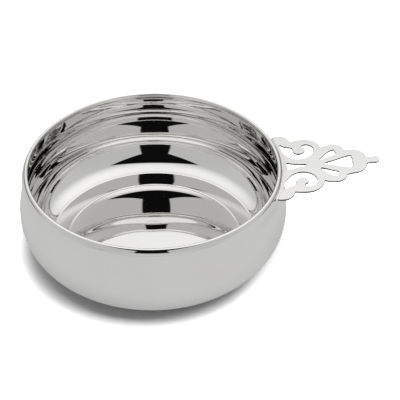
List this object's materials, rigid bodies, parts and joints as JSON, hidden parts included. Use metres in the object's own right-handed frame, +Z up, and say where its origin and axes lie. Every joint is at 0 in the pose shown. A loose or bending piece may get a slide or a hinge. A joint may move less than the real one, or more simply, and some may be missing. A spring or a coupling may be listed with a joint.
{
  "type": "porringer",
  "caption": "Shallow round polished silver bowl with a bellied side, rounded lip, pushed-up domed floor and a flat pierced scroll handle soldered level with the rim.",
  "frame": {"origin": "centre of the bounding box's bottom: on the surface that the foot stands on, under the middle of the overall length from the side of the belly to the handle's tip; the bowl's own axis is 19.225 mm towards -X", "axes": "+X from the bowl towards the handle's tip, +Z up, Y across the handle; the object is its own mirror image across the XZ plane"},
  "size_m": [0.1528, 0.1142, 0.0444],
  "materials": {
    "polished_silver": "mirror-polished silver with faint buffing marks",
    "silver_solder": "satin silver solder, filed smooth"
  },
  "bodies": {
    "root": {"bowl_shell": "polished_silver", "rim_wire": "polished_silver", "handle": "polished_silver", "handle_solder": "silver_solder"}
  },
  "joints": []
}
